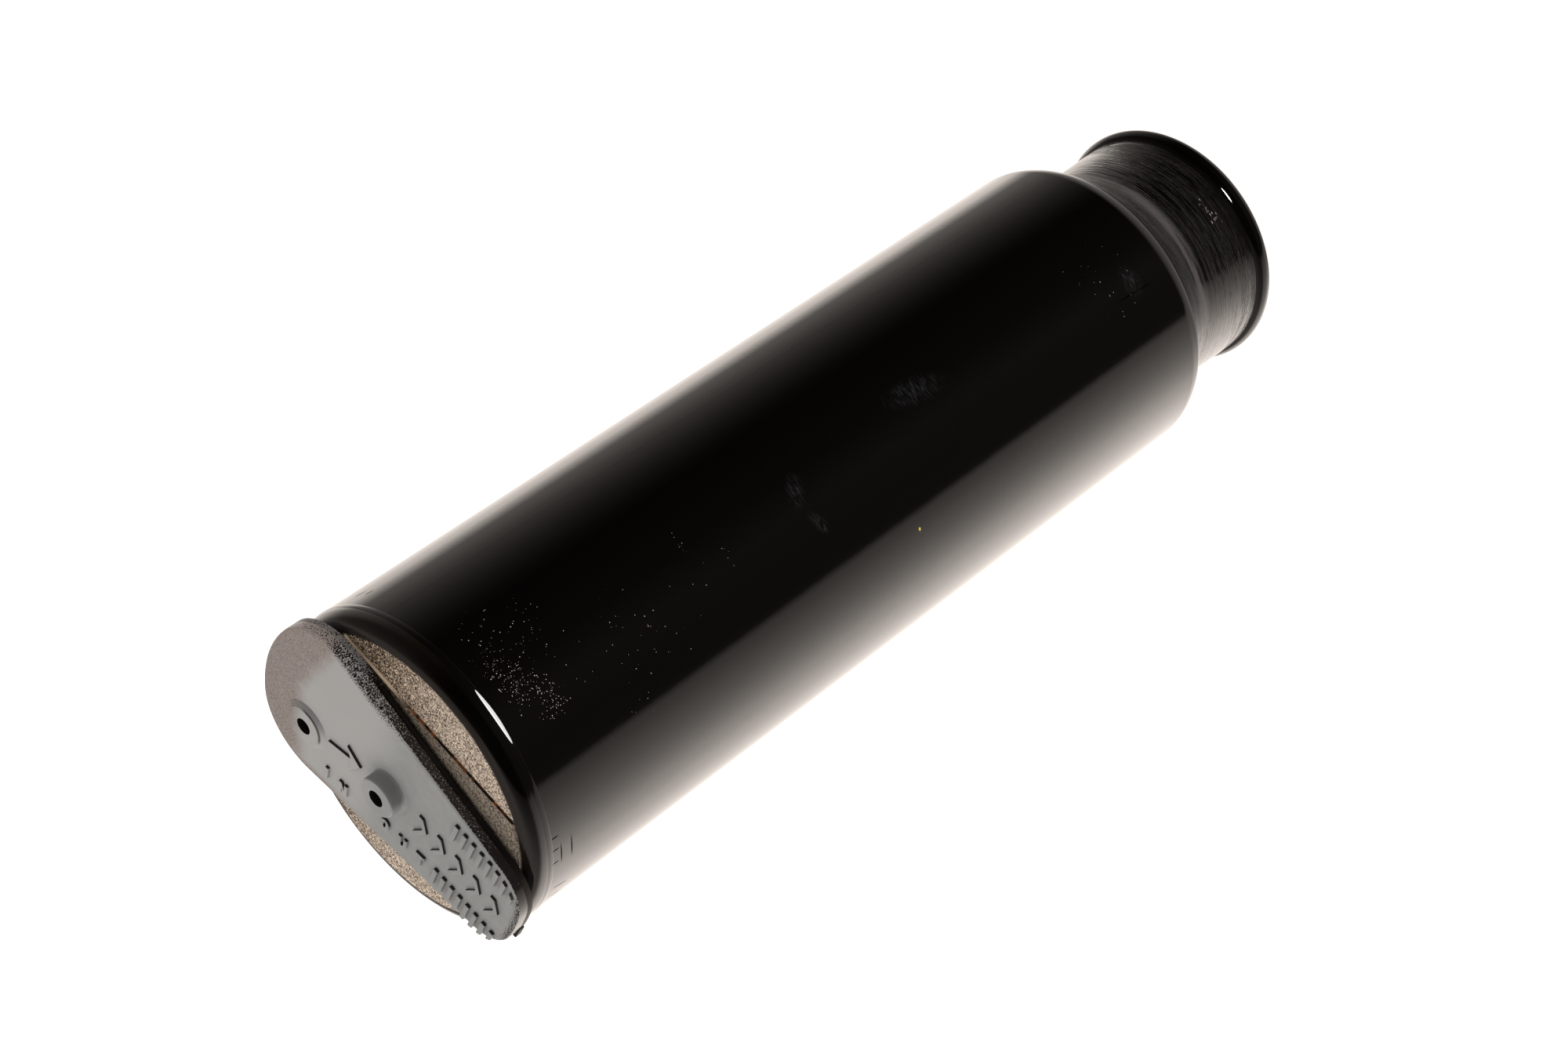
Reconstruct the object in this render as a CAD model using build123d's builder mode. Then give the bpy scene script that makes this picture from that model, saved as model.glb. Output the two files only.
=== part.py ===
# Receiver drier: a drawn steel can with a spun neck and rolled bead at its closed end, a welded
# head with an inlet and an outlet port, a moulded cover that plugs both ports, and inside the
# desiccant bed, its pads, plates and spring, and the pick-up tube with its strainer.
# Millimetres. The can stands on its bead, with +Z up along its axis and the head on top.
# The origin is the centre of the face that the bead stands on.
# +X runs along the cover from its wide inlet end to its narrow ribbed tip.

import os
from math import cos, radians, sqrt, tan

from build123d import *

# Can
can_radius = 30.0
can_wall = 1.6
can_length = 206.1
shoulder_height = 29.935
shoulder_slope = 54.0
shoulder_round = 6.4
neck_inset = 6.6
neck_round_share = 0.94
neck_flare = 0.4
bead_reach = 1.2
bead_height = 4.2
recess_inset = 6.3
recess_depth = 1.6
recess_round = 1.2
bead_round = 0.8

# Head and its weld
rim_height = 3.7
rim_round = 3.05
spigot_round = 0.8
spigot_depth = 12.0
spigot_clearance = 0.1
weld_leg = 0.6
weld_crown = 0.2
band_width = 34.5
band_height = 0.3
port_radius = 5.5
port_depth = 8.0
passage_radius = 3.0
inlet_x = -19.0
inlet_y = -6.75
land_radius = 7.6
land_height = 0.75
bolt_x = 15.0
bolt_y = 2.5
bolt_hole_radius = 2.5
bolt_hole_depth = 9.0
bolt_land_radius = 6.0
tube_socket_depth = 5.0
seal_section_radius = 0.6
seal_groove_lift = 1.2
seal_groove_height = 1.4

# Port cover and its gasket
cover_half_width = 15.0
cover_taper = 10.8
cover_overhang = 1.0
cover_thickness = 2.05
cover_edge_round = 0.45
lobe_corner_round = 12.2
tip_corner_round = 8.0
gasket_thickness = 1.1
gasket_hole_clearance = 0.4
tab_y = -3.9
tab_width = 3.1
tab_length = 3.0
tab_reach = 0.15
tab_round = 0.3
outlet_boss_radius = 3.8
outlet_boss_height = 2.85
inlet_boss_radius = 3.8
inlet_boss_foot_radius = 4.9
inlet_boss_height = 0.75
boss_hole_radius = 1.6
boss_hole_depth = 4.4
boss_round = 0.45
boss_foot_round = 0.9
plug_clearance = 0.1
plug_depth = 6.0
plug_wall = 1.4
plug_floor = 1.2
rib_count = 8
rib_pitch = 1.97
rib_first_x = 14.2
rib_width = 1.0
rib_length = 4.7
rib_inner_y = 5.7
rib_height = 0.6
rib_margin = 0.35

# Pick-up tube, baffle and strainer
tube_radius = 4.0
tube_wall = 0.8
tube_rise = 5.5
fit_clearance = 0.05
baffle_inset = 7.9
baffle_drop = 2.5
baffle_gap = 6.0
baffle_sheet = 0.8
baffle_collar = 3.0
strainer_radius = 9.0
strainer_wall = 1.2
strainer_drop = 3.0
strainer_lift = 2.3
strainer_ring = 2.4
strainer_post_width = 2.0
strainer_post_count = 4
gauze_thickness = 0.4

# Desiccant bed, from the head down
bed_clearance = 0.25
spring_length = 19.0
spring_wire_radius = 1.1
spring_inset = 4.8
spring_turns = 3.0
plate_sheet = 1.0
plate_rim = 4.0
plate_bush_clearance = 1.4
plate_hole_radius = 2.0
plate_inner_holes = 7
plate_outer_holes = 14
plate_inner_ring = 11.5
plate_outer_ring = 19.0
lower_plate_inset = 2.2
pad_thickness = 5.0

# Radii and heights that follow from the sizes above
neck_radius = can_radius - neck_inset
neck_foot_radius = neck_radius + neck_flare
bead_radius = neck_foot_radius + bead_reach
recess_radius = neck_foot_radius - recess_inset
weld_height = can_length - rim_height
head_underside = weld_height - spigot_depth
can_inner_radius = can_radius - can_wall
land_top = can_length + land_height
gasket_top = land_top + gasket_thickness
cover_top = gasket_top + cover_thickness
plug_radius = port_radius - plug_clearance
cover_end_radius = can_radius + cover_overhang
tube_hole_radius = tube_radius + fit_clearance
seal_radius = tube_hole_radius + seal_section_radius
seal_groove_foot = head_underside + seal_groove_lift
bed_radius = can_inner_radius - bed_clearance
baffle_radius = can_inner_radius - baffle_inset
spring_radius = can_inner_radius - spring_inset
lower_plate_radius = can_radius - lower_plate_inset

# The neck meets the bead's round in a crease
bead_centre_radius = bead_radius - bead_height / 2
crease_height = bead_height / 2 + sqrt(
    (bead_height / 2) ** 2 - (neck_foot_radius - bead_centre_radius) ** 2
)

# The shoulder's round starts where its tangent meets the straight wall
shoulder_start = shoulder_height + shoulder_round * tan(radians(shoulder_slope / 2))
shoulder_centre_radius = can_radius - shoulder_round
neck_top = shoulder_height - neck_inset / tan(radians(shoulder_slope))
inner_lift = can_wall * tan(radians(shoulder_slope / 2))

# The neck's round takes a share of the slope that the shoulder's round leaves
largest_neck_round = neck_inset / (1 - cos(radians(shoulder_slope))) - shoulder_round
neck_round = neck_round_share * largest_neck_round

# The lower plate rests on the inside of the shoulder's round
seat_round = shoulder_round - can_wall
seat_reach = lower_plate_radius - shoulder_centre_radius
lower_plate_height = shoulder_start - sqrt(seat_round**2 - seat_reach**2) + fit_clearance

# The strainer hangs on the tube between the lower plate's bush and the closed end
bush_foot = lower_plate_height - 2 * plate_sheet
strainer_top = bush_foot - strainer_drop
strainer_foot = recess_depth + can_wall + strainer_lift
tube_foot = strainer_foot + tube_rise


def round_corners(outline, points):
    """Round each corner of a sketch that is listed as (across, up, radius)."""
    for across, up, radius in [point for point in points if len(point) == 3]:
        fillet(outline.vertices().sort_by_distance((across, up))[0], radius)


def turn(points, x=0.0, y=0.0, mode=Mode.ADD):
    """Revolve a closed outline of (radius, height) points about the upright line through x, y.
    A third value in a point is the round of its corner."""
    with BuildSketch(Plane(origin=(x, y, 0), x_dir=(1, 0, 0), z_dir=(0, -1, 0))) as outline:
        with BuildLine():
            Polyline(*[point[:2] for point in points], close=True)
        make_face()
        round_corners(outline, points)
    revolve(outline.sketch, axis=Axis((x, y, 0), (0, 0, 1)), mode=mode)


def bore(radius, low, high, x=0.0, y=0.0):
    """Cut an upright round hole from height low to height high."""
    with Locations((x, y, low)):
        Cylinder(radius, high - low, align=(Align.CENTER, Align.CENTER, Align.MIN), mode=Mode.SUBTRACT)


def post(radius, low, high, x=0.0, y=0.0):
    """Add an upright round post from height low to height high."""
    with Locations((x, y, low)):
        Cylinder(radius, high - low, align=(Align.CENTER, Align.CENTER, Align.MIN))


def pad_outline(end_radius, margin=0.0):
    """Tapered outline of the cover: two straight sides and ends that follow the can's circle."""
    reach = end_radius + lobe_corner_round
    side = cover_half_width - margin / cos(radians(cover_taper))
    spread = reach * tan(radians(cover_taper))
    with BuildSketch() as outline:
        Polygon(
            (-reach, side + spread),
            (-reach, -side - spread),
            (reach, -side + spread),
            (reach, side - spread),
            align=None,
        )
        Circle(end_radius - margin, mode=Mode.INTERSECT)
        fillet(outline.vertices().sort_by(Axis.X)[:2], lobe_corner_round - margin)
        fillet(outline.vertices().sort_by(Axis.X)[-2:], tip_corner_round - margin)
    return outline.sketch


def at_height(sketch, height):
    """Lift a flat sketch to a height."""
    return sketch.moved(Location((0, 0, height)))


# Can: one drawn shell. The shoulder turns in to a neck that widens a little down to the bead
# on which the can stands, and the end inside the bead is set back.
with BuildPart() as receiver_shell:
    can_corners = [
        (bead_centre_radius, 0),
        (recess_radius + recess_depth, 0, bead_round),
        (recess_radius, recess_depth, recess_round),
        (0, recess_depth),
        (0, weld_height),
        (can_radius - weld_leg, weld_height),
        (can_radius, weld_height - weld_leg),
        (can_radius, shoulder_height, shoulder_round),
        (neck_radius, neck_top, neck_round),
        (neck_foot_radius, crease_height),
    ]
    with BuildSketch(Plane.XZ) as can_section:
        with BuildLine():
            Polyline(*[corner[:2] for corner in can_corners])
            ThreePointArc(can_corners[-1], (bead_radius, bead_height / 2), can_corners[0])
        make_face()
        round_corners(can_section, can_corners)
    revolve(can_section.sketch, axis=Axis.Z)
    turn(
        [
            (0, recess_depth + can_wall),
            (neck_radius - can_wall, recess_depth + can_wall, recess_round),
            (neck_radius - can_wall, neck_top + inner_lift, neck_round + can_wall),
            (can_inner_radius, shoulder_height + inner_lift, shoulder_round - can_wall),
            (can_inner_radius, weld_height + can_wall),
            (0, weld_height + can_wall),
        ],
        mode=Mode.SUBTRACT,
    )

# Head: a turned disc with a rounded rim and a spigot inside the can. Its face carries a low band
# and three lands that the gasket sits on, and holds the two ports and a blind hole for the line
# block's bolt. The outlet is on the axis, over a socket for the pick-up tube.
with BuildPart() as head:
    turn(
        [
            (0, head_underside),
            (can_inner_radius - spigot_clearance, head_underside, spigot_round),
            (can_inner_radius - spigot_clearance, weld_height),
            (can_radius - weld_leg, weld_height),
            (can_radius, weld_height + weld_leg),
            (can_radius, can_length, rim_round),
            (0, can_length),
        ]
    )
    with BuildSketch(Plane.XY.offset(can_length)):
        Circle(can_radius - rim_round)
        Rectangle(2 * can_radius, band_width, mode=Mode.INTERSECT)
    extrude(amount=band_height)
    post(land_radius, can_length, land_top)
    post(land_radius, can_length, land_top, inlet_x, inlet_y)
    post(bolt_land_radius, can_length, land_top, bolt_x, bolt_y)
    for x, y in ((0, 0), (inlet_x, inlet_y)):
        bore(port_radius, land_top - port_depth, land_top, x, y)
        bore(passage_radius, head_underside, land_top, x, y)
    bore(tube_hole_radius, head_underside, head_underside + tube_socket_depth)
    bore(
        seal_radius + seal_section_radius + fit_clearance,
        seal_groove_foot,
        seal_groove_foot + seal_groove_height,
    )
    bore(bolt_hole_radius, land_top - bolt_hole_depth, land_top, bolt_x, bolt_y)

# Girth weld: fills the groove between the can and the head and stands a little proud.
with BuildPart() as girth_weld:
    with BuildSketch(Plane.XZ) as weld_section:
        with BuildLine():
            Line((can_radius - weld_leg, weld_height), (can_radius, weld_height + weld_leg))
            ThreePointArc(
                (can_radius, weld_height + weld_leg),
                (can_radius + weld_crown, weld_height),
                (can_radius, weld_height - weld_leg),
            )
            Line((can_radius, weld_height - weld_leg), (can_radius - weld_leg, weld_height))
        make_face()
    revolve(weld_section.sketch, axis=Axis.Z)

# Gasket: a thin sheet of the cover's outline, with a small square tab at one corner of the tip.
with BuildPart() as cover_gasket:
    extrude(at_height(pad_outline(cover_end_radius), land_top), gasket_thickness)
    with BuildSketch(Plane.XY.offset(land_top)) as tab:
        with Locations((cover_end_radius + tab_reach, tab_y)):
            Rectangle(tab_length, tab_width, align=(Align.MAX, Align.CENTER))
        fillet(tab.vertices(), tab_round)
    extrude(amount=gasket_thickness)
    for x, y in ((0, 0), (inlet_x, inlet_y)):
        bore(plug_radius + gasket_hole_clearance, land_top, gasket_top, x, y)
    bore(bolt_hole_radius + gasket_hole_clearance, land_top, gasket_top, bolt_x, bolt_y)

# Port cover: one moulding with a tapered plate, a hollow plug under each port's boss and two rows
# of grip ribs along the narrow tip.
with BuildPart() as port_cover:
    extrude(at_height(pad_outline(cover_end_radius), gasket_top), cover_thickness)
    fillet(port_cover.faces().sort_by(Axis.Z)[-1].edges(), cover_edge_round)
    turn(
        [
            (0, cover_top - cover_thickness / 2),
            (outlet_boss_radius + 2 * boss_foot_round, cover_top - cover_thickness / 2),
            (outlet_boss_radius + 2 * boss_foot_round, cover_top),
            (outlet_boss_radius, cover_top, boss_foot_round),
            (outlet_boss_radius, cover_top + outlet_boss_height, boss_round),
            (0, cover_top + outlet_boss_height),
        ]
    )
    turn(
        [
            (0, cover_top - cover_thickness / 2),
            (inlet_boss_foot_radius, cover_top - cover_thickness / 2),
            (inlet_boss_foot_radius, cover_top),
            (inlet_boss_radius, cover_top + inlet_boss_height),
            (0, cover_top + inlet_boss_height),
        ],
        x=inlet_x,
        y=inlet_y,
    )
    rib_y = rib_inner_y + rib_length / 2
    with BuildSketch(Plane.XY.offset(cover_top - rib_height)) as ribs:
        for step in range(rib_count):
            with Locations(
                (rib_first_x + step * rib_pitch, rib_y),
                (rib_first_x + step * rib_pitch, -rib_y),
            ):
                Rectangle(rib_width, rib_length)
        add(pad_outline(cover_end_radius, rib_margin), mode=Mode.INTERSECT)
    extrude(ribs.sketch, 2 * rib_height)
    for x, y, top in (
        (0, 0, cover_top + outlet_boss_height),
        (inlet_x, inlet_y, cover_top + inlet_boss_height),
    ):
        post(plug_radius, gasket_top - plug_depth, gasket_top, x, y)
        bore(plug_radius - plug_wall, gasket_top - plug_depth, top - boss_hole_depth - plug_floor, x, y)
        bore(boss_hole_radius, top - boss_hole_depth, top, x, y)

# Pick-up tube: hangs from its socket in the head and takes liquid from the bottom of the can.
with BuildPart() as pickup_tube:
    post(tube_radius, tube_foot, head_underside + tube_socket_depth)
    bore(tube_radius - tube_wall, tube_foot, head_underside + tube_socket_depth)

# Tube seal: a round rubber ring in the groove of the tube's socket.
with BuildPart() as tube_seal:
    with Locations((0, 0, seal_groove_foot + seal_groove_height / 2)):
        Torus(seal_radius, seal_section_radius)

# Inlet baffle: a shallow pressed cone on the tube that spreads what comes in at the inlet.
baffle_top = head_underside - baffle_gap
with BuildPart() as inlet_baffle:
    turn(
        [
            (tube_hole_radius, baffle_top - baffle_collar),
            (tube_hole_radius + baffle_sheet, baffle_top - baffle_collar),
            (tube_hole_radius + baffle_sheet, baffle_top - baffle_sheet),
            (baffle_radius, baffle_top - baffle_sheet - baffle_drop),
            (baffle_radius, baffle_top - baffle_drop),
            (tube_hole_radius + baffle_sheet, baffle_top),
            (tube_hole_radius, baffle_top),
        ]
    )

# Bed spring: presses the bed together. Its two ends are ground flat.
spring_top = head_underside - fit_clearance
spring_foot = spring_top - spring_length
with BuildPart() as bed_spring:
    with BuildLine() as coil:
        Helix(
            spring_length / spring_turns,
            spring_length,
            spring_radius,
            center=(0, 0, spring_foot),
        )
    with BuildSketch(coil.line ^ 0):
        Circle(spring_wire_radius)
    sweep()
    with Locations((0, 0, spring_foot)):
        Cylinder(
            spring_radius + 2 * spring_wire_radius,
            spring_length,
            align=(Align.CENTER, Align.CENTER, Align.MIN),
            mode=Mode.INTERSECT,
        )


def perforated_disc(radius, low, centre_hole):
    """Sheet disc with two rings of round holes and a hole for the tube."""
    post(radius, low, low + plate_sheet)
    with BuildSketch(Plane.XY.offset(low)) as holes:
        Circle(centre_hole)
        with PolarLocations(plate_inner_ring, plate_inner_holes):
            Circle(plate_hole_radius)
        with PolarLocations(plate_outer_ring, plate_outer_holes):
            Circle(plate_hole_radius)
    extrude(holes.sketch, plate_sheet, mode=Mode.SUBTRACT)


def pad(low, thickness):
    """Round pad or bed that fills the can, with a hole for the tube."""
    post(bed_radius, low, low + thickness)
    bore(tube_hole_radius, low, low + thickness)


# Heights of the bed's layers, from both ends towards the middle
upper_plate_height = spring_foot - fit_clearance - plate_sheet
upper_gauze_height = upper_plate_height - gauze_thickness
upper_pad_height = upper_gauze_height - pad_thickness
lower_gauze_height = lower_plate_height + plate_sheet
lower_pad_height = lower_gauze_height + gauze_thickness
bed_height = lower_pad_height + pad_thickness

# Upper plate: perforated, with a rim that guides it in the can and holds the spring.
with BuildPart() as upper_plate:
    perforated_disc(bed_radius, upper_plate_height, tube_hole_radius)
    turn(
        [
            (bed_radius - plate_sheet, upper_plate_height),
            (bed_radius, upper_plate_height),
            (bed_radius, upper_plate_height + plate_rim),
            (bed_radius - plate_sheet, upper_plate_height + plate_rim),
        ]
    )

# Wire gauze discs, felt pads and the desiccant between them.
with BuildPart() as upper_gauze:
    pad(upper_gauze_height, gauze_thickness)

with BuildPart() as upper_pad:
    pad(upper_pad_height, pad_thickness)

with BuildPart() as desiccant_bed:
    pad(bed_height, upper_pad_height - bed_height)

with BuildPart() as lower_pad:
    pad(lower_pad_height, pad_thickness)

# Lower plate: perforated, seated on the inside of the shoulder, with a bush round the tube.
with BuildPart() as lower_plate:
    perforated_disc(lower_plate_radius, lower_plate_height, tube_radius + plate_bush_clearance)

with BuildPart() as lower_gauze:
    post(lower_plate_radius, lower_gauze_height, lower_gauze_height + gauze_thickness)
    bore(tube_hole_radius, lower_gauze_height, lower_gauze_height + gauze_thickness)

with BuildPart() as tube_bush:
    bush_radius = tube_radius + plate_bush_clearance - fit_clearance
    turn(
        [
            (tube_hole_radius, bush_foot),
            (bush_radius + plate_sheet, bush_foot),
            (bush_radius + plate_sheet, lower_plate_height - fit_clearance),
            (bush_radius, lower_plate_height - fit_clearance),
            (bush_radius, lower_plate_height + plate_sheet),
            (tube_hole_radius, lower_plate_height + plate_sheet),
        ]
    )

# Strainer: a moulded cage on the tube's foot, a gauze sleeve inside its posts and a pressed cap.
with BuildPart() as strainer_cage:
    post(strainer_radius, strainer_foot, strainer_top)
    bore(strainer_radius - strainer_wall, strainer_foot, strainer_top - strainer_ring)
    bore(tube_hole_radius, strainer_foot, strainer_top)
    with BuildSketch(Plane.XY.offset(strainer_foot + strainer_ring)) as windows:
        Circle(strainer_radius + strainer_wall)
        Circle(strainer_radius - strainer_wall, mode=Mode.SUBTRACT)
        with PolarLocations(0, strainer_post_count):
            Rectangle(
                2 * strainer_radius,
                strainer_post_width,
                align=(Align.MIN, Align.CENTER),
                mode=Mode.SUBTRACT,
            )
    extrude(windows.sketch, strainer_top - strainer_foot - 2 * strainer_ring, mode=Mode.SUBTRACT)

with BuildPart() as strainer_gauze:
    sleeve_radius = strainer_radius - strainer_wall - fit_clearance
    post(sleeve_radius, strainer_foot + plate_sheet, strainer_top - strainer_ring)
    bore(sleeve_radius - gauze_thickness, strainer_foot + plate_sheet, strainer_top - strainer_ring)

with BuildPart() as strainer_cap:
    turn(
        [
            (0, strainer_foot - plate_sheet),
            (strainer_radius, strainer_foot - plate_sheet),
            (strainer_radius, strainer_foot),
            (sleeve_radius, strainer_foot),
            (sleeve_radius, strainer_foot + plate_sheet),
            (0, strainer_foot + plate_sheet),
        ]
    )

os.makedirs("parts", exist_ok=True)
for name, piece in {
    "receiver_shell": receiver_shell,
    "head": head,
    "girth_weld": girth_weld,
    "cover_gasket": cover_gasket,
    "port_cover": port_cover,
    "pickup_tube": pickup_tube,
    "tube_seal": tube_seal,
    "inlet_baffle": inlet_baffle,
    "bed_spring": bed_spring,
    "upper_plate": upper_plate,
    "upper_gauze": upper_gauze,
    "upper_pad": upper_pad,
    "desiccant_bed": desiccant_bed,
    "lower_pad": lower_pad,
    "lower_gauze": lower_gauze,
    "lower_plate": lower_plate,
    "tube_bush": tube_bush,
    "strainer_cage": strainer_cage,
    "strainer_gauze": strainer_gauze,
    "strainer_cap": strainer_cap,
}.items():
    piece.part.label = name
    export_step(piece.part, f"parts/{name}.step")
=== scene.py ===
from math import atan2, cos, pi, radians, sin, sqrt, tan

import bmesh
import bpy
from mathutils import Matrix, Vector


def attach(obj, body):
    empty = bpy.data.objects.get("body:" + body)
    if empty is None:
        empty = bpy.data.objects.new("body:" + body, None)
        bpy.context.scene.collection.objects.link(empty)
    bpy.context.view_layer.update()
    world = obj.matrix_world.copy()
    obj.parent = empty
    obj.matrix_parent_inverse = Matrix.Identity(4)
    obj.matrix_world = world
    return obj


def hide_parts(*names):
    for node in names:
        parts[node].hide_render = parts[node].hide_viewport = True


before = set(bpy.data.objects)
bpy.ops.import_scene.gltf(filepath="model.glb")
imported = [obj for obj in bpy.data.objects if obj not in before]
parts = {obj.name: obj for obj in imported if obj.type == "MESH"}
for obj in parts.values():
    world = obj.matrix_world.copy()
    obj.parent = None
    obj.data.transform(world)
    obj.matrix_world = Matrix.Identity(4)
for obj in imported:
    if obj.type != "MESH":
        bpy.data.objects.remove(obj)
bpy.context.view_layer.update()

# Can: one drawn steel shell with a spun neck and a rolled bead at its closed end, painted glossy
# black. The paint carries chips, fine scratches and smudges, and the neck keeps the rings that
# spinning left in it.
mm = 0.001
can_radius = 30 * mm
can_wall = 1.6 * mm
weld_height = 202.4 * mm
weld_leg = 0.6 * mm
neck_radius = 23.4 * mm
neck_foot_radius = 23.8 * mm
bead_radius = 25 * mm
bead_section = 2.1 * mm
recess_radius = 17.5 * mm
recess_depth = 1.6 * mm
recess_floor_round = 1.2 * mm
recess_rim_round = 0.8 * mm
shoulder_height = 29.935 * mm
shoulder_slope = radians(54)
shoulder_round = 6.4 * mm
neck_round = 9.035 * mm


def arc(mesh, vert, centre, axis, angle, steps):
    """Carry a vertex round a centre and return the last vertex of the chain."""
    spun = bmesh.ops.spin(
        mesh, geom=[vert], cent=centre, axis=axis, angle=angle, steps=steps, use_duplicate=False
    )
    return [item for item in spun["geom_last"] if isinstance(item, bmesh.types.BMVert)][0]


def line(mesh, vert, to):
    """Carry a vertex along a straight line and return the last vertex."""
    reached = bmesh.ops.extrude_vert_indiv(mesh, verts=[vert])["verts"][0]
    reached.co = to
    return reached


def rounded_corner(mesh, vert, corner, after, radius, steps):
    """Go on from a vertex towards a corner, round it, and return the last vertex."""
    back = (vert.co - corner).normalized()
    ahead = (after - corner).normalized()
    half = back.angle(ahead) / 2
    begin = line(mesh, vert, corner + back * radius / tan(half))
    centre = corner + (back + ahead).normalized() * radius / sin(half)
    return arc(mesh, begin, centre, ahead.cross(back), pi - 2 * half, steps)


def section(mesh, corners, closed=True, begin=None):
    """Draw a section in the XZ plane, from its first corner or on from a vertex, and return its
    last vertex. Each corner is (radius, height) or (radius, height, round, steps)."""
    points = [Vector((corner[0], 0, corner[1])) for corner in corners]
    first = vert = begin or mesh.verts.new(points[0])
    for index in range(0 if begin else 1, len(corners)):
        if len(corners[index]) == 2:
            vert = line(mesh, vert, points[index])
        else:
            vert = rounded_corner(mesh, vert, points[index], points[index + 1], *corners[index][2:])
    if closed:
        mesh.edges.new((vert, first))
    return vert


def turned(mesh, centre=(0, 0, 0), steps=256):
    """Spin the section that the mesh holds into a closed body about an upright line."""
    bmesh.ops.spin(
        mesh,
        geom=mesh.verts[:] + mesh.edges[:],
        cent=centre,
        axis=(0, 0, 1),
        angle=2 * pi,
        steps=steps,
        use_merge=True,
    )
    bmesh.ops.remove_doubles(mesh, verts=mesh.verts, dist=1e-6)
    bmesh.ops.dissolve_degenerate(mesh, edges=mesh.edges, dist=1e-7)
    bmesh.ops.recalc_face_normals(mesh, faces=mesh.faces)


def smoothed(mesh, sharp):
    """Make all faces smooth, and the edges sharp where they turn by more than an angle."""
    for face in mesh.faces:
        face.smooth = True
    for edge in mesh.edges:
        edge.smooth = len(edge.link_faces) != 2 or edge.calc_face_angle(0) <= sharp


def finished(name, mesh, sharp=radians(32)):
    """Make an object of a mesh, smooth but for its sharp edges."""
    smoothed(mesh, sharp)
    data = bpy.data.meshes.new(name)
    mesh.to_mesh(data)
    mesh.free()
    piece = bpy.data.objects.new(name, data)
    bpy.context.scene.collection.objects.link(piece)
    return piece


neck_top = shoulder_height - (can_radius - neck_radius) / tan(shoulder_slope)
bead_axis = bead_radius - bead_section
crease_height = bead_section + sqrt(bead_section**2 - (neck_foot_radius - bead_axis) ** 2)
bead_turn = atan2(crease_height - bead_section, neck_foot_radius - bead_axis)
inner_lift = can_wall * tan(shoulder_slope / 2)
inner_radius = can_radius - can_wall
inner_neck = neck_radius - can_wall
inner_floor = recess_depth + can_wall

can_mesh = bmesh.new()
end = section(
    can_mesh,
    [
        (0, recess_depth),
        (recess_radius, recess_depth, recess_floor_round, 6),
        (recess_radius + recess_depth, 0, recess_rim_round, 6),
        (bead_axis, 0),
    ],
    closed=False,
)
end = arc(can_mesh, end, (bead_axis, 0, bead_section), (0, -1, 0), pi / 2 + bead_turn, 26)
wall_path = [
    (neck_radius, neck_top, neck_round, 18),
    (can_radius, shoulder_height, shoulder_round, 18),
    (can_radius, weld_height - weld_leg),
    (can_radius - weld_leg, weld_height),
    (inner_radius, weld_height),
    (inner_radius, shoulder_height + inner_lift, shoulder_round - can_wall, 8),
    (inner_neck, neck_top + inner_lift, neck_round + can_wall, 8),
    (inner_neck, inner_floor, recess_floor_round, 4),
    (0, inner_floor),
]
section(can_mesh, wall_path, closed=False, begin=end)
turned(can_mesh)
can = finished("can", can_mesh)


def new_material(name):
    """Material with nodes, its node tree and its Principled shader."""
    material = bpy.data.materials.new(name)
    material.use_nodes = True
    return material, material.node_tree, material.node_tree.nodes["Principled BSDF"]


def node(tree, kind, inputs=None, **settings):
    """Add a node, set it, and fill its inputs with numbers or with the sockets given."""
    made = tree.nodes.new(kind)
    for key, value in settings.items():
        setattr(made, key, value)
    for key, value in (inputs or {}).items():
        if isinstance(value, bpy.types.NodeSocket):
            tree.links.new(value, made.inputs[key])
        else:
            made.inputs[key].default_value = value
    return made


def math(tree, operation, first, *others, clamp=False):
    """Result of a Math node, or of several in a row for more than two values."""
    for other in others or (0.0,):
        made = node(tree, "ShaderNodeMath", {0: first, 1: other}, operation=operation)
        first = made.outputs[0]
    made.use_clamp = clamp
    return first


def times(tree, *values, clamp=False):
    """Product of masks and numbers."""
    return math(tree, "MULTIPLY", *values, clamp=clamp)


def plus(tree, *values, clamp=False):
    """Sum of masks and numbers."""
    return math(tree, "ADD", *values, clamp=clamp)


def minus(tree, first, second, clamp=False):
    """One value less another."""
    return math(tree, "SUBTRACT", first, second, clamp=clamp)


def most(tree, *values):
    """Largest of several values."""
    return math(tree, "MAXIMUM", *values)


def apart(tree, first, second):
    """How far two values are apart."""
    return math(tree, "ABSOLUTE", minus(tree, first, second))


def weighted(tree, base, *masks):
    """A base value plus each mask times its weight."""
    return plus(tree, base, *(times(tree, mask, weight) for mask, weight in masks))


def vector(tree, operation, first, second=(0, 0, 0)):
    """Result of one Vector Math node: a number where the operation makes one, else a vector."""
    made = node(tree, "ShaderNodeVectorMath", {0: first, 1: second}, operation=operation)
    return made.outputs["Value" if operation in ("LENGTH", "DOT_PRODUCT") else "Vector"]


def xyz(tree, place):
    """The three parts of a vector."""
    return node(tree, "ShaderNodeSeparateXYZ", {0: place}).outputs


def ramp(tree, value, low, high):
    """0 to 1 as a value goes from low to high, eased at both ends."""
    inputs = {"Value": value, "From Min": low, "From Max": high}
    made = node(tree, "ShaderNodeMapRange", inputs, interpolation_type="SMOOTHSTEP")
    return made.outputs["Result"]


def blend(tree, share, first, second):
    """Colour between two, by a share."""
    made = node(tree, "ShaderNodeMix", {"Factor": share}, data_type="RGBA")
    for socket, value in ((made.inputs[6], first), (made.inputs[7], second)):
        if isinstance(value, bpy.types.NodeSocket):
            tree.links.new(value, socket)
        else:
            socket.default_value = (*value, 1)
    return made.outputs[2]


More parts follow.
